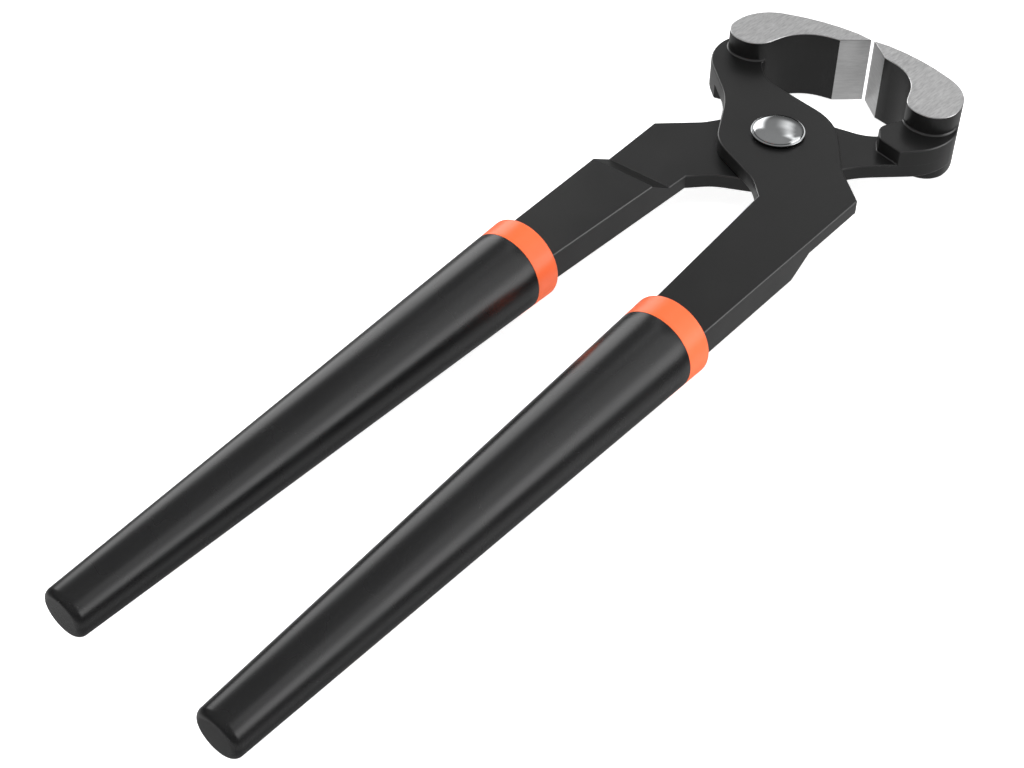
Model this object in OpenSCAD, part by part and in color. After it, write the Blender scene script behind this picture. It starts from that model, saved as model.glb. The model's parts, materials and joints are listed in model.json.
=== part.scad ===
// End-cutting pincers: two identical half-lapped arms that turn on one rivet.
// Each arm is a single forging, from its cutting jaw to the tang inside its grip.

/* [Overall] */
// Length from the ends of the grips to the crown of the jaws
overall_l = 251.4; // [210:0.2:290]
// Space between the two cutting edges, with the handles as stored
edge_gap = 0.8; // [0.5:0.1:1.6]

/* [Jaws] */
// Length of each cutting edge, which is the full height of the jaw heads
jaw_h = 18.4; // [14:0.1:22]

/* [Lap joint] */
// Thickness of each handle shank, and of the two lapped plates together
shank_t = 7.8; // [6.6:0.1:9]
// Space between the two lapped faces
lap_gap = 0.1; // [0.06:0.02:0.2]
// Diameter of the rivet's hole through each plate
bore_d = 9.1; // [8:0.1:10]
// Radial clearance of the rivet's shank in those holes
rivet_clearance = 0.05; // [0.02:0.01:0.1]
// Space under the rivet's upper head, so that the joint turns freely
head_play = 0.05; // [0.02:0.01:0.1]
// Diameter of the rivet's two heads
head_d = 13.4; // [12:0.1:15]
// Height of the tapered neck that each head sits on
head_neck = 0.6; // [0.2:0.1:0.8]
// Height of the upright rim round each head
head_rim = 0.3; // [0.1:0.1:1]
// Height of the dome above that rim
head_dome = 1.6; // [0.8:0.1:1.8]

/* [Grips] */
// Distance of each grip's axis from the tool's centre line
grip_x = 20.75; // [20.4:0.05:21.1]
// Distance from the rivet's axis back to the front of the collars
collar_start = 72.9; // [66:0.1:80]
// Length of the coloured collars
collar_l = 6.6; // [4:0.1:10]
// Diameter of the collars at their front
collar_d = 20.2; // [19.4:0.1:21]
// Radius of the collar's front edge
collar_edge_r = 0.4; // [0.2:0.1:1]
// Diameter that the grips taper to at their far end
grip_end_d = 11.2; // [10.6:0.1:13]
// Radius of the edge at the grip's far end
grip_edge_r = 1.5; // [0.5:0.1:2]
// Solid plastic past the end of the steel tang
grip_cap = 8; // [4:1:14]

/* [Hidden] */

steel_black = "#3b3b3d";
grip_black = "#1f1f21";
collar_orange = "#ff7a45";
rivet_bright = "#c8cacc";

// Angle between the points of an arc, in degrees
arc_step = 6;
// Number of sides that a round piece is previewed with
round_sides = 64;
// Width that a side outline is run across, wider than the tool is in either direction
across_w = 120;

// Half the thickness of the shank: the height of a plate's outer face above the lap
half_t = shank_t / 2;
// Behind the rivet, the underside slopes from the lap to full thickness between these
slope_start = 30.4;
slope_end = 36.9;

// The head of the left jaw seen from above, as [x, y, corner radius] about the rivet.
// Its last edge is the straight bevel that runs up to the cutting edge.
jaw_corners = [
    [-edge_gap / 2, 43.45, 0],
    [-4.5, 43.9, 0],
    [-14.4, 43.9, 54],
    [-32.8, 37.15, 12],
    [-32.7, 22.1, 6],
    [-21.5, 22.1, 6],
    [-16.8, 36.2, 13],
    [-6.6, 38.2, 0]
];
jaw_reach = max([for (p = rounded(jaw_corners)) p[1]]);

// The tang runs on from the shank and tapers to this width and thickness at its end
grip_end = overall_l - jaw_reach;
tang_end = grip_end - grip_cap;
tang_end_w = 5.6;
tang_end_t = 4.4;

// Plate, shank and tang of the arm with the left jaw and the right handle
arm_corners = [
    [29.35, -10.9, 0],
    [28.2, -collar_start, 0],
    [grip_x + tang_end_w / 2, -tang_end, 0],
    [grip_x - tang_end_w / 2, -tang_end, 0],
    [13.3, -collar_start, 0],
    [10.25, -24.1, 0],
    [5.45, -19.2, 13.7],
    [-10.5, -11.6, 12.2],
    [-18.9, 4.95, 25.7],
    [-34.25, 18.7, 14.2],
    [-34.35, 26.95, 8.2],
    [-31.8, 33.2, 0],
    [-26, 32, 0],
    [-20.5, 27, 0],
    [-20.5, 23.7, 1],
    [-16.15, 18.15, 11.7],
    [8.45, 13.55, 17.3],
    [20, -2.65, 11.7]
];

// Where the plate below the jaw's head is full thickness. Its lower edge is the stop
// that the other arm's outer corner meets when the tool is wide open.
pad_corners = [
    [-45, 32, 0],
    [-45, 7.7, 0],
    [-20.3, 14.1, 1.5],
    [-17.6, 18.3, 3],
    [-21, 25, 0],
    [-25, 32, 0]
];

// Outline of the collar from its axis out, as [radius, distance behind the rivet, corner radius]
collar_end = collar_start + collar_l;
collar_corners = [
    [0, collar_start, 0],
    [grip_r(collar_start), collar_start, collar_edge_r],
    [grip_r(collar_end), collar_end, 0],
    [0, collar_end, 0]
];

// Outline of the grip, which goes on from the collar as the same cone
grip_corners = [
    [0, collar_end, 0],
    [grip_r(collar_end), collar_end, 0],
    [grip_r(grip_end), grip_end, grip_edge_r],
    [0, grip_end, 0]
];

// The origin is on the ground, under the middle of the tool. The rivet's axis is at pivot_y,
// and the lap is at pivot_z, because the widest part of each collar rests on the ground.
pivot_y = overall_l / 2 - jaw_reach;
pivot_z = max([for (p = rounded(collar_corners)) p[0]]);

// Rounded outlines: a corner with a radius becomes an arc that touches both its edges
function flat(p) = [p[0], p[1]];
function unit(v) = v / norm(v);
function turned(p, a) = [p[0] * cos(a) - p[1] * sin(a), p[0] * sin(a) + p[1] * cos(a)];
function corner_arc(before, corner, after) =
    let (
        tip = flat(corner),
        radius = corner[2],
        back = unit(flat(before) - tip),
        ahead = unit(flat(after) - tip),
        turn = 180 - acos(back * ahead),
        side = -sign(cross(back, ahead)),
        centre = tip + unit(back + ahead) * radius / cos(turn / 2),
        first = tip + back * radius * tan(turn / 2) - centre,
        steps = ceil(turn / arc_step)
    )
    radius == 0 ? [tip] : [for (i = [0:steps]) centre + turned(first, side * turn * i / steps)];
function rounded(corners) =
    let (n = len(corners))
    [for (i = [0:n - 1]) each corner_arc(corners[(i + n - 1) % n], corners[i], corners[(i + 1) % n])];

// Radius of the collar and grip's common cone at a distance behind the rivet
function grip_r(distance) =
    let (share = (distance - collar_start) / (grip_end - collar_start))
    (collar_d + (grip_end_d - collar_d) * share) / 2;

// Points of half a dome's elliptical outline, from its rim to its top, as [r, z]
function dome(r, z, height) =
    [for (a = [90:-arc_step:0]) [r * sin(a), z + height * cos(a)]];

// A rounded outline seen from above, raised from one height to another
module plan(corners, low, high) {
    translate([0, 0, low])
        linear_extrude(high - low)
            polygon(rounded(corners));
}

// An outline seen from the side, given as [y, z], run across the whole tool
module across(outline) {
    translate([-across_w / 2, 0, 0])
        rotate([90, 0, 90])
            linear_extrude(across_w)
                polygon(outline);
}

// A turned piece along the right-hand grip's axis
module along_grip(corners) {
    translate([grip_x, 0, 0])
        rotate([90, 0, 0])
            rotate_extrude($fn = round_sides)
                polygon(rounded(corners));
}

// Puts what is built about the rivet into the part's own frame
module placed() {
    translate([0, pivot_y, pivot_z])
        children();
}

// Turns the upper arm, or what is on it, over into the lower arm's place
module turned_over() {
    rotate([0, 180, 0])
        children();
}

// Plate, shank and tang in one bar
module arm_bar() {
    lap = lap_gap / 2;
    ahead = jaw_reach + 1;
    intersection() {
        plan(arm_corners, -half_t, half_t);
        across([
            [-tang_end, -tang_end_t / 2],
            [-collar_start, -half_t],
            [-slope_end, -half_t],
            [-slope_start, lap],
            [ahead, lap],
            [ahead, half_t],
            [-collar_start, half_t],
            [-tang_end, tang_end_t / 2]
        ]);
    }
}

// Full-thickness pad that carries the jaw's head
module jaw_pad() {
    intersection() {
        plan(arm_corners, -half_t, half_t);
        plan(pad_corners, -half_t, half_t);
    }
}

// One whole arm, lying on top of the lap
module arm() {
    difference() {
        union() {
            arm_bar();
            jaw_pad();
            plan(jaw_corners, -jaw_h / 2, jaw_h / 2);
        }
        cylinder(h = 2 * shank_t, d = bore_d, center = true, $fn = round_sides);
    }
}

// Coloured ring at the front of the grip, closed round the shank
module collar() {
    difference() {
        along_grip(collar_corners);
        arm_bar();
    }
}

// Plastic sleeve, closed at its far end, with a hollow that fits the tang
module grip() {
    difference() {
        along_grip(grip_corners);
        arm_bar();
    }
}

// One domed head of the rivet, its flat side at height z
module rivet_head(z) {
    radius = head_d / 2;
    translate([0, 0, z])
        rotate_extrude($fn = round_sides)
            polygon(concat(
                [[0, 0], [radius - head_neck, 0], [radius, head_neck]],
                dome(radius, head_neck + head_rim, head_dome)
            ));
}

// Rivet: a shank through both plates with a head on each end
module rivet() {
    top = half_t + head_play;
    translate([0, 0, -half_t])
        cylinder(h = half_t + top, r = bore_d / 2 - rivet_clearance, $fn = round_sides);
    rivet_head(top);
    mirror([0, 0, 1])
        rivet_head(half_t);
}

module lower_arm() {
    color(steel_black)
        placed() turned_over() arm();
}

module lower_collar() {
    color(collar_orange)
        placed() turned_over() collar();
}

module lower_grip() {
    color(grip_black)
        placed() turned_over() grip();
}

module pivot_rivet() {
    color(rivet_bright)
        placed() rivet();
}

module upper_arm() {
    color(steel_black)
        placed() arm();
}

module upper_collar() {
    color(collar_orange)
        placed() collar();
}

module upper_grip() {
    color(grip_black)
        placed() grip();
}

lower_arm();
lower_collar();
lower_grip();
pivot_rivet();
upper_arm();
upper_collar();
upper_grip();
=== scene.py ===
"""End-cutting pincers: the looks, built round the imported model.

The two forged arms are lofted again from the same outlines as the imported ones, with rolled
edges, fillets at the foot of the jaw and of the stop, ground jaw faces and a black coat. The grips,
collars and rivet are turned again with fine profiles. Pieces are placed in metres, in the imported
model's frame.
"""
import json
import math

import bmesh
import bpy
from mathutils import Matrix, Quaternion, Vector


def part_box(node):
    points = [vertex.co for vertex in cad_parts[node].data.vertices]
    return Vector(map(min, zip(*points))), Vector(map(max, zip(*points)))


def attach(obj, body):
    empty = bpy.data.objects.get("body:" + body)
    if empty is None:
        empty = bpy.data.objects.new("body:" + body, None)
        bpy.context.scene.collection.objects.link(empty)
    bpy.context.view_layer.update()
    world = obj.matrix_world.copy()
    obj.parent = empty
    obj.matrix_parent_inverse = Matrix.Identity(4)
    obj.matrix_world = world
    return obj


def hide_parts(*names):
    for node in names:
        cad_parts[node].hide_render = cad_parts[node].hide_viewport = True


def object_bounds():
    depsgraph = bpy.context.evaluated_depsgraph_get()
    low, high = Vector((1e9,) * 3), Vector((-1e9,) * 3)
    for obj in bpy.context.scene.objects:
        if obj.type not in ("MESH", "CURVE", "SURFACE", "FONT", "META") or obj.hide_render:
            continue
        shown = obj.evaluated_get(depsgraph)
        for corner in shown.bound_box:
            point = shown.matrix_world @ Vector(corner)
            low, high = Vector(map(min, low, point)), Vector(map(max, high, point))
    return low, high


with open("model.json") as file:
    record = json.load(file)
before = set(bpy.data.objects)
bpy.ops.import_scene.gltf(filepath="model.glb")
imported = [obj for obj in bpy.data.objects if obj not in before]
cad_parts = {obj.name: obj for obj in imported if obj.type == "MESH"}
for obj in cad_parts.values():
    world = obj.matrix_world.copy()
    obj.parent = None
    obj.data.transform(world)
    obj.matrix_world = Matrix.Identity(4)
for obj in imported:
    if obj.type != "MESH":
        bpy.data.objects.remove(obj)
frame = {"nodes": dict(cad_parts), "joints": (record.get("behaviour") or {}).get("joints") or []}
CAD_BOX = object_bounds()

MM = 0.001
PIVOT = Vector(frame["joints"][0]["pos_m"])
HALVES = {"upper_half": "upper", "lower_half": "lower"}
GRIP_AXIS = sum(corner.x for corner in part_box("upper_grip")) / 2 / MM

# Camera: the point it looks at, from the rivet's axis on the lap, and where it stands round it
AIM_FROM_PIVOT = Vector((3.88, -106.8, 0.0)) * MM
CAMERA_AZIMUTH = math.radians(40.19)
CAMERA_ELEVATION = math.radians(43.9)
CAMERA_ROLL = math.radians(-0.5)
CAMERA_DISTANCE = 352.7 * MM
CAMERA_LENS_MM = 58.66
SENSOR_MM = 36.0

# Rolled edges and fillets of the forged arms
EDGE_R = 0.38 * MM
FOOT_FILLET_R = 0.55 * MM
STOP_FILLET_R = 0.32 * MM
GROUND_EDGE_R = 0.20 * MM
SHARP_ANGLE = math.radians(33)

# Turned pieces
TURN_STEPS = 128
ON_AXIS = 1e-7
SEAM_R = 0.15 * MM
GRIP_END_SHARE = 0.567
GRIP_RIM_R = 1.6 * MM
GRIP_ROWS = 40
COLLAR_EDGE_R = 0.4 * MM
COLLAR_ROWS = 6
MOULDED_SHARP = 40
RIVET_SHARP = 50


def link(name, mesh):
    """Puts a new mesh object in the scene."""
    piece = bpy.data.objects.new(name, mesh)
    bpy.context.scene.collection.objects.link(piece)
    return piece


def full_turn(steps):
    """Equal angles once round, in radians."""
    return [2 * math.pi * k / steps for k in range(steps)]


def stand_in(piece, node, body):
    """piece takes the place of a CAD node, on that node's body."""
    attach(piece, body)
    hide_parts(node)


# ---------------------------------------------------------------- materials


class Nodes:
    """A material's node tree, with short calls to add nodes to it."""

    def __init__(self, name):
        self.material = bpy.data.materials.new(name)
        self.material.use_nodes = True
        self.tree = self.material.node_tree
        self.shader = self.tree.nodes["Principled BSDF"]

    def add(self, kind, **settings):
        node = self.tree.nodes.new(kind)
        for key, value in settings.items():
            setattr(node, key, value)
        return node

    def link(self, source, target):
        self.tree.links.new(source, target)

    def noise(self, vector, scale, detail=3.0, roughness=0.5):
        node = self.add("ShaderNodeTexNoise")
        node.inputs["Scale"].default_value = scale
        node.inputs["Detail"].default_value = detail
        node.inputs["Roughness"].default_value = roughness
        self.link(vector, node.inputs["Vector"])
        return node.outputs["Fac"]

    def spread(self, value, low, high, from_low=0.3, from_high=0.7):
        node = self.add("ShaderNodeMapRange")
        node.inputs["From Min"].default_value = from_low
        node.inputs["From Max"].default_value = from_high
        node.inputs["To Min"].default_value = low
        node.inputs["To Max"].default_value = high
        self.link(value, node.inputs["Value"])
        return node.outputs["Result"]

    def tint(self, value, dark, light):
        node = self.add("ShaderNodeMix", data_type="RGBA")
        node.inputs["A"].default_value = (*dark, 1.0)
        node.inputs["B"].default_value = (*light, 1.0)
        self.link(value, node.inputs["Factor"])
        return node.outputs["Result"]

    def bump(self, height, strength, distance):
        node = self.add("ShaderNodeBump")
        node.inputs["Strength"].default_value = strength
        node.inputs["Distance"].default_value = distance
        self.link(height, node.inputs["Height"])
        return node.outputs["Normal"]

    def object_point(self, stretch=(1.0, 1.0, 1.0), turn=0.0):
        """Object coordinates, turned about Z and then stretched."""
        place = self.add("ShaderNodeTexCoord")
        turned = self.add("ShaderNodeMapping", vector_type="POINT")
        turned.inputs["Rotation"].default_value = (0.0, 0.0, turn)
        self.link(place.outputs["Object"], turned.inputs["Vector"])
        scaled = self.add("ShaderNodeMapping", vector_type="POINT")
        scaled.inputs["Scale"].default_value = stretch
        self.link(turned.outputs["Vector"], scaled.inputs["Vector"])
        return scaled.outputs["Vector"]


def black_coat(name, shade, index, gloss):
    """Satin black coating on forged steel, with a fine dust-like grain."""
    m = Nodes(name)
    place = m.object_point()
    grain = m.noise(place, 5200.0, detail=2.0)
    cloud = m.noise(place, 90.0, detail=4.0)
    colour = m.tint(cloud, (shade * 0.8,) * 3, (shade * 1.2,) * 3)
    m.link(colour, m.shader.inputs["Base Color"])
    m.shader.inputs["IOR"].default_value = index
    m.link(m.spread(cloud, *gloss), m.shader.inputs["Roughness"])
    m.link(m.bump(grain, 0.10, 0.02 * MM), m.shader.inputs["Normal"])
    return m.material


def ground_steel(name, stretch, turn, shades, gloss):
    """Steel ground bright, with the grinding lines along one direction."""
    m = Nodes(name)
    lines = m.noise(m.object_point(stretch, turn), 1.0, detail=3.0, roughness=0.65)
    marks = m.spread(lines, 0.0, 1.0, 0.25, 0.75)
    cloud = m.noise(m.object_point(), 160.0, detail=2.0)
    colour = m.tint(marks, (shades[0],) * 3, (shades[1],) * 3)
    m.link(colour, m.shader.inputs["Base Color"])
    m.shader.inputs["Metallic"].default_value = 1.0
    m.link(m.spread(cloud, *gloss), m.shader.inputs["Roughness"])
    m.link(m.bump(lines, 0.25, 0.01 * MM), m.shader.inputs["Normal"])
    return m.material


def grip_plastic():
    """Glossy black PVC with a faint orange-peel surface."""
    m = Nodes("grip_plastic")
    place = m.object_point()
    peel = m.noise(place, 900.0, detail=2.0)
    cloud = m.noise(place, 60.0, detail=3.0)
    colour = m.tint(cloud, (0.0055, 0.0055, 0.0058), (0.0080, 0.0080, 0.0083))
    m.link(colour, m.shader.inputs["Base Color"])
    m.link(m.spread(cloud, 0.24, 0.30), m.shader.inputs["Roughness"])
    m.link(m.bump(peel, 0.05, 0.03 * MM), m.shader.inputs["Normal"])
    return m.material


def collar_plastic():
    """Orange PVC, a little less glossy than the grip."""
    m = Nodes("collar_plastic")
    place = m.object_point()
    peel = m.noise(place, 1100.0, detail=2.0)
    cloud = m.noise(place, 120.0, detail=3.0)
    m.link(m.tint(cloud, (0.90, 0.143, 0.041), (0.95, 0.158, 0.047)), m.shader.inputs["Base Color"])
    m.link(m.spread(cloud, 0.28, 0.34), m.shader.inputs["Roughness"])
    m.link(m.bump(peel, 0.06, 0.03 * MM), m.shader.inputs["Normal"])
    return m.material


def polished_rivet():
    """Bright plated steel with a faintly clouded polish."""
    m = Nodes("polished_rivet")
    cloud = m.noise(m.object_point(), 400.0, detail=3.0)
    m.link(m.tint(cloud, (0.60, 0.615, 0.62), (0.68, 0.69, 0.70)), m.shader.inputs["Base Color"])
    m.shader.inputs["Metallic"].default_value = 1.0
    m.link(m.spread(cloud, 0.05, 0.10), m.shader.inputs["Roughness"])
    return m.material


# ---------------------------------------------------------------- forged arms

# The arm with the left jaw, in millimetres about the rivet and the lap.
# Outlines: x, y and corner radius. SLOPE: y, z and corner radius of the step's flank.
JAW_CORNERS = [
    (-0.4, 43.45, 0), (-4.5, 43.9, 0), (-14.4, 43.9, 54), (-32.8, 37.15, 12), (-32.7, 22.1, 6),
    (-21.5, 22.1, 6), (-16.8, 36.2, 13), (-6.6, 38.2, 0),
]
PLATE_CORNERS = [
    (10.25, -24.1, 0), (5.45, -19.2, 13.7), (-10.5, -11.6, 12.2), (-18.9, 4.95, 25.7),
    (-34.25, 18.7, 14.2), (-34.35, 26.95, 8.2), (-31.8, 33.2, 0), (-26, 32, 0), (-20.5, 27, 0),
    (-20.5, 23.7, 1), (-16.15, 18.15, 11.7), (8.45, 13.55, 17.3), (20, -2.65, 11.7),
    (29.35, -10.9, 0.45),
]
PAD_CORNERS = [
    (-45, 32, 0), (-45, 7.7, 0), (-20.3, 14.1, 1.5), (-17.6, 18.3, 3), (-21, 25, 0), (-25, 32, 0),
]
COLLAR_START = 72.9
SHANK_RIGHT = [(29.35, -10.9), (28.2, -COLLAR_START)]
SHANK_LEFT = [(10.25, -24.1), (13.3, -COLLAR_START)]
TANG_WIDTH = 5.6
TANG_THICKNESS = 4.4
GRIP_CAP = 8.0
HALF_T = 3.9
LAP = 0.05
HALF_JAW = 9.2
SLOPE = [(-50, -HALF_T, 0), (-36.9, -HALF_T, 0.9), (-30.4, LAP, 0.9), (-25, LAP, 0)]
BORE_R = 4.55
BORE_STEPS = 64
ARC_STEP = math.radians(6)
LEAST_MITRE = 0.2
ROLL_STEPS = 5
GROUND_ROLL_STEPS = 3

# Heights that end inside the plate, where a raised part or its mask is joined to it
PAD_ROOT = 2.0
PAD_MASK_ROOT = 3.0
CUT_REACH = 12

# Small offsets that keep two solids' faces out of one plane, in millimetres
PAD_INSET = 0.003
PAD_MASK_DROP = 0.004
MASK_INSET = 0.02
FILLET_LIFT = 0.01

# How a fillet is rooted in the plate and in the raised part, in millimetres
FILLET_ROOT = 0.5
FILLET_ROOT_SHARE = 0.9
FILLET_OVERLAP = 0.1

# Clean-up after the joins, in millimetres
SAME_POINT = 0.002
NO_LENGTH = 0.001

# Material slots of an arm
COAT, GROUND_FLAT, GROUND_BEVEL, GROUND_EDGE, EDGE_HIGHLIGHT = range(5)

# Which faces are which: faces of a rolled edge or fillet are smaller than the area, in square
# millimetres, and lean between the two values of the normal's Z; sloping flats are larger
ROLL_FACE_AREA = 10.0
ROLL_LEAN = (0.08, 0.985)
FLAT_NORMAL_Z = 0.99
WALL_NORMAL_Z = 0.1
BEVEL_ALONG = 0.999
BEVEL_REACH = 0.02


def rounded(corners):
    """Points of an outline whose corners are arcs that touch both their edges."""
    points = []
    for k, (x, y, radius) in enumerate(corners):
        tip = Vector((x, y))
        if radius == 0:
            points.append(tip)
            continue
        back = (Vector(corners[k - 1][:2]) - tip).normalized()
        ahead = (Vector(corners[(k + 1) % len(corners)][:2]) - tip).normalized()
        turn = math.pi - back.angle(ahead)
        side = -math.copysign(1.0, back.x * ahead.y - back.y * ahead.x)
        centre = tip + (back + ahead).normalized() * radius / math.cos(turn / 2)
        first = tip + back * radius * math.tan(turn / 2) - centre
        steps = max(1, math.ceil(turn / ARC_STEP - 1e-6))
        for i in range(steps + 1):
            a = side * turn * i / steps
            points.append(centre + Vector((first.x * math.cos(a) - first.y * math.sin(a),
                                           first.x * math.sin(a) + first.y * math.cos(a))))
    return points


def inset(points, distance):
    """The outline moved inwards, or outwards if distance is negative, corner by corner."""
    area = sum(p.x * q.y - q.x * p.y for p, q in zip(points, points[1:] + points[:1]))
    sign = math.copysign(1.0, area)
    moved = []
    for k, point in enumerate(points):
        one = (point - points[k - 1]).normalized()
        two = (points[(k + 1) % len(points)] - point).normalized()
        normals = [Vector((-d.y, d.x)) * sign for d in (one, two)]
        middle = (normals[0] + normals[1]).normalized()
        moved.append(point + middle * distance / max(LEAST_MITRE, middle.dot(normals[0])))
    return moved


def roll(radius, steps=ROLL_STEPS):
    """Inset and depth of each step of a rolled edge, from the side wall to the flat."""
    angles = [math.pi / 2 * i / steps for i in range(steps + 1)]
    return [(radius * (1 - math.cos(a)), radius * (1 - math.sin(a))) for a in angles]


def loft(name, rings, caps=None):
    """A closed solid through rings of equal length. caps lists the faces of each end ring by index."""
    bm = bmesh.new()
    layers = [[bm.verts.new(v) for v in ring] for ring in rings]
    count = len(layers[0])
    for below, above in zip(layers, layers[1:]):
        for k in range(count):
            after = (k + 1) % count
            bm.faces.new((below[k], below[after], above[after], above[k]))
    for layer in (layers[0], layers[-1]):
        for face in caps or [range(count)]:
            bm.faces.new([layer[k] for k in face])
    bmesh.ops.recalc_face_normals(bm, faces=bm.faces)
    mesh = bpy.data.meshes.new(name)
    bm.to_mesh(mesh)
    bm.free()
    return link(name, mesh)


def prism(name, points, low, high, low_roll=0.0, high_roll=0.0, steps=ROLL_STEPS):
    """An outline raised between two heights, with its lower and upper edges rolled."""
    rings = []
    for inward, depth in reversed(roll(low_roll, steps) if low_roll else [(0.0, 0.0)]):
        rings.append([(p.x, p.y, low + depth) for p in inset(points, inward)])
    for inward, depth in roll(high_roll, steps) if high_roll else [(0.0, 0.0)]:
        rings.append([(p.x, p.y, high - depth) for p in inset(points, inward)])
    return loft(name, rings)


def merge(piece, other, operation):
    """Joins, cuts or crosses two solids. The result stays in piece, and other goes."""
    change = piece.modifiers.new("merge", "BOOLEAN")
    change.operation = operation
    change.solver = "EXACT"
    change.object = other
    bpy.context.view_layer.update()
    shaped = bpy.data.meshes.new_from_object(piece.evaluated_get(bpy.context.evaluated_depsgraph_get()))
    piece.modifiers.clear()
    piece.data = shaped
    bpy.data.objects.remove(other)
    return piece


def between(line, y):
    """Point at height y on a straight line given by its two ends."""
    (x0, y0), (x1, y1) = line
    return Vector((x0 + (x1 - x0) * (y - y0) / (y1 - y0), y))


def bar_outline(tang_end):
    """Outline of the plate, shank and tang, the heights at each point, and the faces of its flats."""
    slope = rounded(SLOPE)[1:-1]
    rows = [(p.x, p.y, HALF_T) for p in reversed(slope)]
    rows.append((-COLLAR_START, -HALF_T, HALF_T))
    rows.append((-tang_end, -TANG_THICKNESS / 2, TANG_THICKNESS / 2))
    ends = {-1: GRIP_AXIS - TANG_WIDTH / 2, 1: GRIP_AXIS + TANG_WIDTH / 2}

    def row_point(side, y):
        line = SHANK_RIGHT if side > 0 else SHANK_LEFT
        return Vector((ends[side], y)) if y < -COLLAR_START else between(line, y)

    right = [row_point(1, y) for y, low, high in rows]
    left = [row_point(-1, y) for y, low, high in reversed(rows)]
    shank_ends = [(*SHANK_RIGHT[1], 0), (*SHANK_LEFT[1], 0)]
    plate = rounded(PLATE_CORNERS + shank_ends)[:-2]
    points = plate + right + left
    there_and_back = rows + rows[::-1]
    lows = [LAP] * len(plate) + [low for y, low, high in there_and_back]
    highs = [HALF_T] * len(plate) + [high for y, low, high in there_and_back]
    first, last = len(plate), len(points) - 1
    faces = [list(range(first + 1)) + [last]]
    for k in range(len(rows) - 1):
        faces.append([first + k, first + k + 1, last - k - 1, last - k])
    return points, lows, highs, faces


def build_bar(tang_end):
    """Plate, shank and tang in one, with every long edge rolled."""
    points, lows, highs, faces = bar_outline(tang_end)
    rings = []
    for inward, depth in reversed(roll(EDGE_R / MM)):
        rings.append([(p.x, p.y, z + depth) for p, z in zip(inset(points, inward), lows)])
    for inward, depth in roll(EDGE_R / MM):
        rings.append([(p.x, p.y, z - depth) for p, z in zip(inset(points, inward), highs)])
    return loft("bar", rings, faces)


def mask(name, points):
    """An outline raised far past the arm on both sides, to cut or cross it with."""
    return prism(name, points, -CUT_REACH, CUT_REACH)


def build_fillet(foot, inside, level, sign, radius):
    """The fillet round the foot of a raised part, on one flat of the plate and inside an outline."""
    root = inset(foot, -radius * FILLET_ROOT_SHARE)
    rings = [[(p.x, p.y, level - sign * FILLET_ROOT) for p in root]]
    for k in range(1, ROLL_STEPS + 1):
        a = math.pi / 2 * k / ROLL_STEPS
        out, rise = radius * (1 - math.sin(a)), radius * (1 - math.cos(a))
        rings.append([(p.x, p.y, level + sign * rise) for p in inset(foot, FILLET_LIFT - out)])
    top = level + sign * (radius + FILLET_OVERLAP)
    rings.append([(p.x, p.y, top) for p in inset(foot, FILLET_OVERLAP)])
    return merge(loft("fillet", rings), mask("inside", inset(inside, MASK_INSET)), "INTERSECT")


def build_arm(half, materials):
    """One forged arm: rolled edges, fillets at the foot of jaw and stop, and ground jaw faces."""
    tang_end = (PIVOT.y - CAD_BOX[0].y) / MM - GRIP_CAP
    edge, ground_edge = EDGE_R / MM, GROUND_EDGE_R / MM
    foot_fillet, stop_fillet = FOOT_FILLET_R / MM, STOP_FILLET_R / MM
    jaw = rounded(JAW_CORNERS)
    whole = rounded(PLATE_CORNERS)
    pad_area = rounded(PAD_CORNERS)
    arm = build_bar(tang_end)
    pad = prism("pad", inset(whole, PAD_INSET), -HALF_T, PAD_ROOT, low_roll=edge)
    pad_mask = prism("pad_area", pad_area, -HALF_T - PAD_MASK_DROP, PAD_MASK_ROOT, low_roll=edge)
    merge(pad, pad_mask, "INTERSECT")
    merge(arm, pad, "UNION")
    head = prism("head", jaw, -HALF_JAW, HALF_JAW, ground_edge, ground_edge, GROUND_ROLL_STEPS)
    merge(arm, head, "UNION")
    merge(arm, build_fillet(jaw, whole, HALF_T, 1, foot_fillet), "UNION")
    under = build_fillet(jaw, whole, -HALF_T, -1, foot_fillet)
    merge(under, mask("pad_area", inset(pad_area, MASK_INSET)), "INTERSECT")
    merge(arm, under, "UNION")
    merge(arm, build_fillet(pad_area, inset(whole, edge / 2), LAP, -1, stop_fillet), "UNION")
    circle = [Vector((BORE_R * math.cos(a), BORE_R * math.sin(a))) for a in full_turn(BORE_STEPS)]
    merge(arm, mask("bore", circle), "DIFFERENCE")
    finish_arm(arm.data, materials)
    turned = Matrix.Rotation(math.pi, 4, "Y") if half == "lower_half" else Matrix.Identity(4)
    arm.data.transform(Matrix.Translation(PIVOT) @ turned @ Matrix.Scale(MM, 4))
    arm.name = arm.data.name = HALVES[half] + "_arm_forged"
    stand_in(arm, HALVES[half] + "_arm", half)
    return arm


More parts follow.
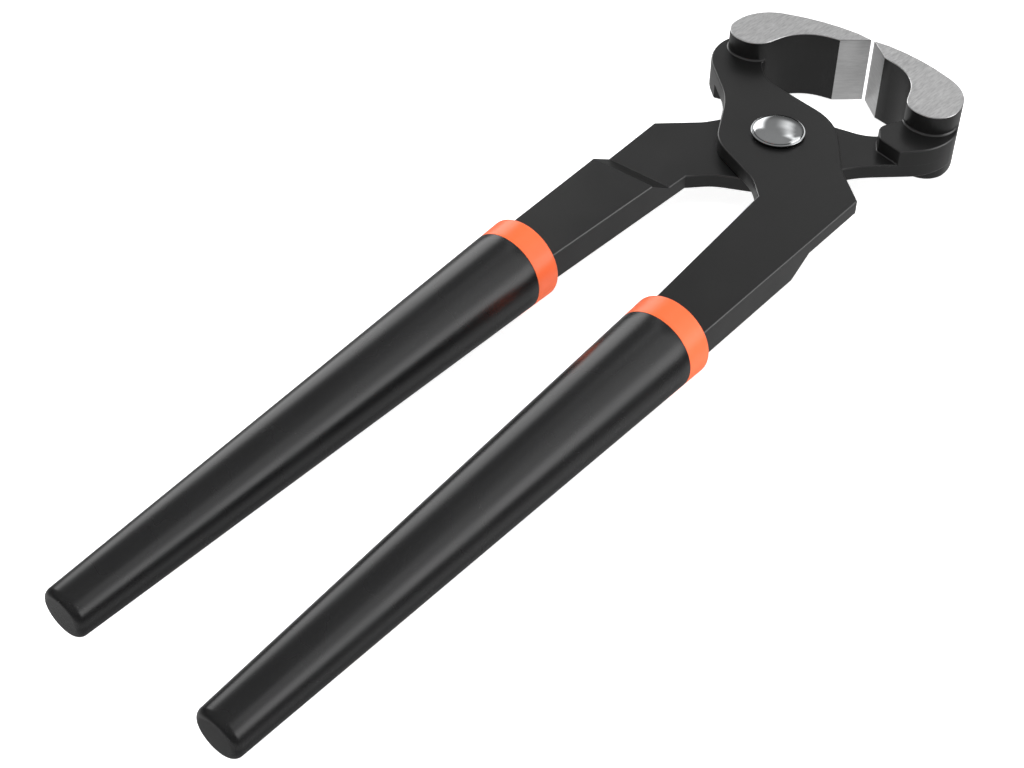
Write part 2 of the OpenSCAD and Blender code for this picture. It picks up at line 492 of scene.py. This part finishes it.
def finish_arm(mesh, materials):
    """Gives an arm's faces their materials and keeps its real edges crisp."""
    mesh.materials.clear()
    for material in materials:
        mesh.materials.append(material)
    start, end = Vector(JAW_CORNERS[-1][:2]), Vector(JAW_CORNERS[0][:2])
    across = Vector((end.y - start.y, start.x - end.x)).normalized()
    bm = bmesh.new()
    bm.from_mesh(mesh)
    bmesh.ops.remove_doubles(bm, verts=bm.verts, dist=SAME_POINT)
    bmesh.ops.dissolve_degenerate(bm, edges=bm.edges, dist=NO_LENGTH)
    bm.normal_update()
    for face in bm.faces:
        face.smooth = True
        middle = face.calc_center_median()
        lean = abs(face.normal.z)
        near_bevel = abs((middle.xy - start).dot(across)) < BEVEL_REACH and lean < WALL_NORMAL_Z
        if near_bevel and abs(face.normal.xy.dot(across)) > BEVEL_ALONG:
            face.material_index = GROUND_BEVEL
        elif abs(middle.z) > HALF_JAW - GROUND_EDGE_R / MM:
            face.material_index = GROUND_FLAT if lean > FLAT_NORMAL_Z else GROUND_EDGE
        elif ROLL_LEAN[0] < lean < ROLL_LEAN[1] and face.calc_area() < ROLL_FACE_AREA:
            # rolled edges and fillets get the lighter coat: a painted highlight along them
            face.material_index = EDGE_HIGHLIGHT
        else:
            face.material_index = COAT
    for line in bm.edges:
        line.smooth = len(line.link_faces) == 2 and line.calc_face_angle(0.0) < SHARP_ANGLE
    bm.to_mesh(mesh)
    bm.free()


# ---------------------------------------------------------------- turned pieces


def arc(centre, radius, start, end, steps):
    """Points of an arc in a profile, by angle in degrees from the profile's first axis."""
    turns = [math.radians(start + (end - start) * i / steps) for i in range(steps + 1)]
    return [(centre[0] + radius * math.cos(a), centre[1] + radius * math.sin(a)) for a in turns]


def turned_mesh(name, profile, place):
    """A closed turned solid. The profile runs from axis to axis.

    place puts a radius, a distance along the axis and an angle in space.
    """
    bm = bmesh.new()
    rings = []
    for radius, along in profile:
        if radius < ON_AXIS:
            rings.append([bm.verts.new(place(0.0, along, 0.0))])
        else:
            rings.append([bm.verts.new(place(radius, along, a)) for a in full_turn(TURN_STEPS)])
    for near, far in zip(rings, rings[1:]):
        for k in range(TURN_STEPS):
            after = (k + 1) % TURN_STEPS
            corners = [near[k % len(near)], near[after % len(near)]]
            corners += [far[after % len(far)], far[k % len(far)]]
            unique = list(dict.fromkeys(corners))
            if len(unique) > 2:
                bm.faces.new(unique)
    bmesh.ops.recalc_face_normals(bm, faces=bm.faces)
    for face in bm.faces:
        face.smooth = True
    mesh = bpy.data.meshes.new(name)
    bm.to_mesh(mesh)
    bm.free()
    return mesh


def along_grip(half):
    """Places a profile along a grip's axis: the second number is the distance behind the rivet."""
    low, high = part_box(HALVES[half] + "_grip")
    axis_x, axis_z = (low.x + high.x) / 2, (low.z + high.z) / 2

    def place(radius, along, angle):
        return (axis_x + radius * math.sin(angle), PIVOT.y - along, axis_z + radius * math.cos(angle))

    return place


def grip_profile(half):
    """Outline of the grip: seam edge, long cone, rounded rim and flat end."""
    low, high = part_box(HALVES[half] + "_grip")
    start, end = PIVOT.y - high.y, PIVOT.y - low.y
    wide = (high.x - low.x) / 2
    narrow = wide * GRIP_END_SHARE
    cone_start, cone_end = start + SEAM_R, end - GRIP_RIM_R
    profile = [(0.0, start), (wide - SEAM_R, start)]
    profile += arc((wide - SEAM_R, start + SEAM_R), SEAM_R, -90, 0, 4)[1:]
    for i in range(1, GRIP_ROWS):
        share = i / GRIP_ROWS
        radius = wide + (narrow - wide) * share
        profile.append((radius, cone_start + (cone_end - cone_start) * share))
    profile += arc((narrow - GRIP_RIM_R, cone_end), GRIP_RIM_R, 0, 90, 10)
    profile.append((0.0, end))
    return profile


def collar_profile(half):
    """Outline of the collar: rounded front edge, cone, and a fine edge at the seam."""
    low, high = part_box(HALVES[half] + "_collar")
    grip_low, grip_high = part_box(HALVES[half] + "_grip")
    start, end = PIVOT.y - high.y, PIVOT.y - low.y
    front, back = (high.x - low.x) / 2, (grip_high.x - grip_low.x) / 2
    cone_start, cone_end = start + COLLAR_EDGE_R, end - SEAM_R
    profile = [(0.0, start), (front - COLLAR_EDGE_R, start)]
    profile += arc((front - COLLAR_EDGE_R, cone_start), COLLAR_EDGE_R, -90, 0, 8)[1:]
    for i in range(1, COLLAR_ROWS):
        share = i / COLLAR_ROWS
        radius = front + (back - front) * share
        profile.append((radius, cone_start + (cone_end - cone_start) * share))
    profile += arc((back - SEAM_R, end - SEAM_R), SEAM_R, 0, 90, 4)
    profile.append((0.0, end))
    return profile


def build_turned(half, part, profile, material):
    """A grip or a collar, turned about the grip's axis and cut to fit its steel."""
    node = HALVES[half] + "_" + part
    mesh = turned_mesh(node + "_moulded", profile, along_grip(half))
    mesh.materials.append(material)
    piece = link(node + "_moulded", mesh)
    merge(piece, link("steel", frame["nodes"][HALVES[half] + "_arm"].data.copy()), "DIFFERENCE")
    stand_in(piece, node, half)
    return piece


def build_rivet(material):
    """The rivet: a polished dome on an upright rim at each end of a plain shank."""
    low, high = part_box("pivot_rivet")
    radius = (high.x - low.x) / 2
    shank = 4.5 * MM
    neck = 0.6 * MM
    head_height = 1.9 * MM
    foot = 0.06 * MM
    flange, flange_edge = 0.34 * MM, 0.16 * MM
    flange_dip = 0.02 * MM
    dome_inset = 0.42 * MM
    dome_r, dome_height = radius - dome_inset, head_height - flange
    steps = 36

    def head(top, sign):
        """Half of one head's outline: dome, narrow flange with a rounded edge, and tapered neck."""
        seat = top - sign * head_height
        base = seat + sign * flange
        angles = [math.pi / 2 * i / steps for i in range(steps + 1)]
        points = [(dome_r * math.sin(a), base + sign * dome_height * math.cos(a)) for a in angles]
        edge_height = flange - flange_dip - flange_edge
        edge = arc((radius - flange_edge, edge_height), flange_edge, 90, 0, 6)
        points += [(r, seat + sign * z) for r, z in edge]
        points += [(radius, seat + sign * foot), (radius - foot, seat)]
        return points + [(radius - neck, seat - sign * neck), (shank, seat - sign * neck)]

    profile = head(high.z, 1) + list(reversed(head(low.z, -1)))

    def place(r, along, angle):
        return (PIVOT.x + r * math.sin(angle), PIVOT.y + r * math.cos(angle), along)

    mesh = turned_mesh("pivot_rivet_polished", profile, place)
    mesh.materials.append(material)
    piece = link("pivot_rivet_polished", mesh)
    stand_in(piece, "pivot_rivet", "lower_half")
    return piece


def smooth_by_angle(piece, degrees):
    """Keeps edges sharper than this from being shaded round."""
    mesh = piece.data
    bm = bmesh.new()
    bm.from_mesh(mesh)
    for edge in bm.edges:
        edge.smooth = len(edge.link_faces) == 2 and edge.calc_face_angle(0.0) < math.radians(degrees)
    bm.to_mesh(mesh)
    bm.free()


# ---------------------------------------------------------------- stage


FLOOR_STEPS = 64

# Overhead light: side and height in metres, power in watts
TOP_LIGHT_SIDE = 1.0
TOP_LIGHT_HEIGHT = 1.5
TOP_LIGHT_POWER = 16.0


def build_floor():
    """A wide plain floor that curves up into a far wall, and glows enough to hide most shadow."""
    level_z = CAD_BOX[0].z
    flat, bend, height = 6.0, 2.0, 4.0
    profile = [(flat, 0.0)]
    profile += arc((flat, bend), bend, -90, 0, 16)[1:]
    profile.append((flat + bend, height))
    bm = bmesh.new()
    rings = []
    for radius, z in profile:
        round_it = [(radius * math.cos(a), radius * math.sin(a)) for a in full_turn(FLOOR_STEPS)]
        rings.append([bm.verts.new((x, y, level_z + z)) for x, y in round_it])
    bm.faces.new(rings[0])
    for near, far in zip(rings, rings[1:]):
        for k in range(FLOOR_STEPS):
            after = (k + 1) % FLOOR_STEPS
            bm.faces.new((near[k], near[after], far[after], far[k]))
    bmesh.ops.recalc_face_normals(bm, faces=bm.faces)
    for face in bm.faces:
        face.smooth = len(face.verts) == 4
    mesh = bpy.data.meshes.new("floor")
    bm.to_mesh(mesh)
    bm.free()
    m = Nodes("floor_white")
    m.shader.inputs["Base Color"].default_value = (0.80, 0.80, 0.80, 1.0)
    m.shader.inputs["Roughness"].default_value = 0.9
    m.shader.inputs["Emission Color"].default_value = (1.0, 1.0, 1.0, 1.0)
    m.shader.inputs["Emission Strength"].default_value = 0.85
    mesh.materials.append(m.material)
    floor = link("floor", mesh)
    floor.visible_glossy = False


# Studio light by height: the sine of the elevation and the radiance there
SKY = [
    (-1.0, 0.18), (-0.78, 0.20), (-0.68, 0.49), (-0.50, 0.56), (-0.30, 0.15), (-0.05, 0.08),
    (0.20, 0.12), (0.45, 0.28), (1.0, 0.32),
]

# Soft boxes, in degrees: azimuth from +Y towards +X, elevation, half width, half height, soft edge,
# how far the top leans to the left, and then the radiance
SOFT_BOXES = [
    (-60, 17, 18.5, 16.5, 4, 25, 2.1),
    (64, 14, 24, 11, 6, 0, 2.8),
    (52, 40, 20, 15, 6, 0, 1.0),
    (-22, 31, 4, 8, 5, 0, 0.8),
    (-17, 42, 4, 6, 5, 0, 0.5),
    (-9, 50, 6, 5, 5, 0, 0.5),
    (10, 56, 14, 4, 4, 0, 0.9),
]


def level(tree, value, stops):
    """A number that follows the stops, which are pairs of input and output."""
    curve = tree.nodes.new("ShaderNodeFloatCurve")
    points = curve.mapping.curves[0].points
    curve.mapping.clip_min_x = curve.mapping.clip_min_y = -1.0
    while len(points) < len(stops):
        points.new(0.0, 0.0)
    for point, (where, height) in zip(points, stops):
        point.location = (where, height)
        point.handle_type = "VECTOR"
    curve.mapping.update()
    tree.links.new(value, curve.inputs["Value"])
    return curve.outputs["Value"]


def within(tree, direction, axis, half, soft):
    """1 where the direction is within half, in degrees, of the plane across the axis, and else 0.

    The change takes soft degrees on each side.
    """
    dot = tree.nodes.new("ShaderNodeVectorMath")
    dot.operation = "DOT_PRODUCT"
    dot.inputs[1].default_value = axis
    tree.links.new(direction, dot.inputs[0])
    size = tree.nodes.new("ShaderNodeMath")
    size.operation = "ABSOLUTE"
    tree.links.new(dot.outputs["Value"], size.inputs[0])
    fade = tree.nodes.new("ShaderNodeMapRange")
    fade.interpolation_type = "SMOOTHSTEP"
    fade.inputs["From Min"].default_value = math.sin(math.radians(half - soft))
    fade.inputs["From Max"].default_value = math.sin(math.radians(half + soft))
    fade.inputs["To Min"].default_value = 1.0
    fade.inputs["To Max"].default_value = 0.0
    tree.links.new(size.outputs[0], fade.inputs["Value"])
    return fade.outputs["Result"]


def combine(tree, operation, first, second):
    """A maths node on two values, which are sockets or numbers."""
    node = tree.nodes.new("ShaderNodeMath")
    node.operation = operation
    for socket, value in zip(node.inputs, (first, second)):
        if isinstance(value, (int, float)):
            socket.default_value = value
        else:
            tree.links.new(value, socket)
    return node.outputs[0]


def build_world():
    """Soft studio light from all round, with soft boxes at an endless distance."""
    world = bpy.data.worlds.new("studio")
    bpy.context.scene.world = world
    world.use_nodes = True
    tree = world.node_tree
    direction = tree.nodes.new("ShaderNodeTexCoord").outputs["Generated"]
    parts = tree.nodes.new("ShaderNodeSeparateXYZ")
    tree.links.new(direction, parts.inputs[0])
    total = level(tree, parts.outputs["Z"], SKY)
    for azimuth, elevation, half_width, half_height, soft, lean, radiance in SOFT_BOXES:
        turn, rise = math.radians(azimuth), math.radians(elevation)
        flat = math.cos(rise)
        ahead = Vector((math.sin(turn) * flat, math.cos(turn) * flat, math.sin(rise)))
        right = Vector((math.cos(turn), -math.sin(turn), 0.0))
        right.rotate(Quaternion(ahead, -math.radians(lean)))
        up = right.cross(ahead)
        front = tree.nodes.new("ShaderNodeVectorMath")
        front.operation = "DOT_PRODUCT"
        front.inputs[1].default_value = ahead
        tree.links.new(direction, front.inputs[0])
        facing = combine(tree, "GREATER_THAN", front.outputs["Value"], 0.0)
        window = combine(tree, "MULTIPLY", within(tree, direction, right, half_width, soft),
                         within(tree, direction, up, half_height, soft))
        glow = combine(tree, "MULTIPLY", combine(tree, "MULTIPLY", window, facing), radiance)
        total = combine(tree, "ADD", total, glow)
    background = tree.nodes["Background"]
    background.inputs["Color"].default_value = (1.0, 1.0, 1.0, 1.0)
    tree.links.new(total, background.inputs["Strength"])


def build_top_light():
    """A soft light straight overhead, which shows in no reflection."""
    lamp = bpy.data.lights.new("top_light", "AREA")
    lamp.shape = "SQUARE"
    lamp.size = TOP_LIGHT_SIDE
    lamp.energy = TOP_LIGHT_POWER
    light = bpy.data.objects.new("top_light", lamp)
    bpy.context.scene.collection.objects.link(light)
    light.location = (0.0, 0.0, TOP_LIGHT_HEIGHT)
    light.visible_glossy = False


def build_camera():
    """The camera, looking down over the grips towards the jaws."""
    across = math.cos(CAMERA_ELEVATION)
    back = Vector((math.sin(CAMERA_AZIMUTH) * across,
                   -math.cos(CAMERA_AZIMUTH) * across,
                   math.sin(CAMERA_ELEVATION)))
    data = bpy.data.cameras.new("camera")
    data.sensor_width = SENSOR_MM
    data.lens = CAMERA_LENS_MM
    data.clip_start = 10 * MM
    data.clip_end = 20.0
    camera = bpy.data.objects.new("camera", data)
    bpy.context.scene.collection.objects.link(camera)
    camera.location = PIVOT + AIM_FROM_PIVOT + back * CAMERA_DISTANCE
    camera.rotation_mode = "QUATERNION"
    camera.rotation_quaternion = Quaternion(back, CAMERA_ROLL) @ (-back).to_track_quat("-Z", "Y")
    bpy.context.scene.camera = camera


coat = black_coat("black_coat", 0.007, 1.52, (0.31, 0.38))
# Rolled edges and fillets: a lighter base colour, a painted highlight that brightens their edge lines,
# with a higher index and more gloss
edge_highlight_coat = black_coat("black_coat_edge_highlight", 0.012, 1.85, (0.27, 0.33))
flat_steel = ground_steel("ground_steel_flat", (1900.0, 400.0, 400.0), math.radians(3),
                          (0.66, 1.0), (0.36, 0.44))
# The bevel's tone is set lighter than the flats': painted light that brightens the bevel; its grinding
# lines running another way are real
bevel_steel = ground_steel("ground_steel_bevel", (300.0, 300.0, 1900.0), 0.0,
                           (0.78, 0.94), (0.34, 0.42))
edge_steel = ground_steel("ground_steel_edge", (900.0, 900.0, 900.0), 0.0,
                          (0.74, 0.90), (0.28, 0.34))
grip_material = grip_plastic()
collar_material = collar_plastic()
for half in HALVES:
    arm = build_arm(half, (coat, flat_steel, bevel_steel, edge_steel, edge_highlight_coat))
    arm.modifiers.new("flat_faces", "WEIGHTED_NORMAL").keep_sharp = True
    grip = build_turned(half, "grip", grip_profile(half), grip_material)
    smooth_by_angle(grip, MOULDED_SHARP)
    collar = build_turned(half, "collar", collar_profile(half), collar_material)
    smooth_by_angle(collar, MOULDED_SHARP)
smooth_by_angle(build_rivet(polished_rivet()), RIVET_SHARP)
build_floor()
build_world()
build_top_light()
build_camera()
bpy.context.scene.view_settings.view_transform = "Standard"
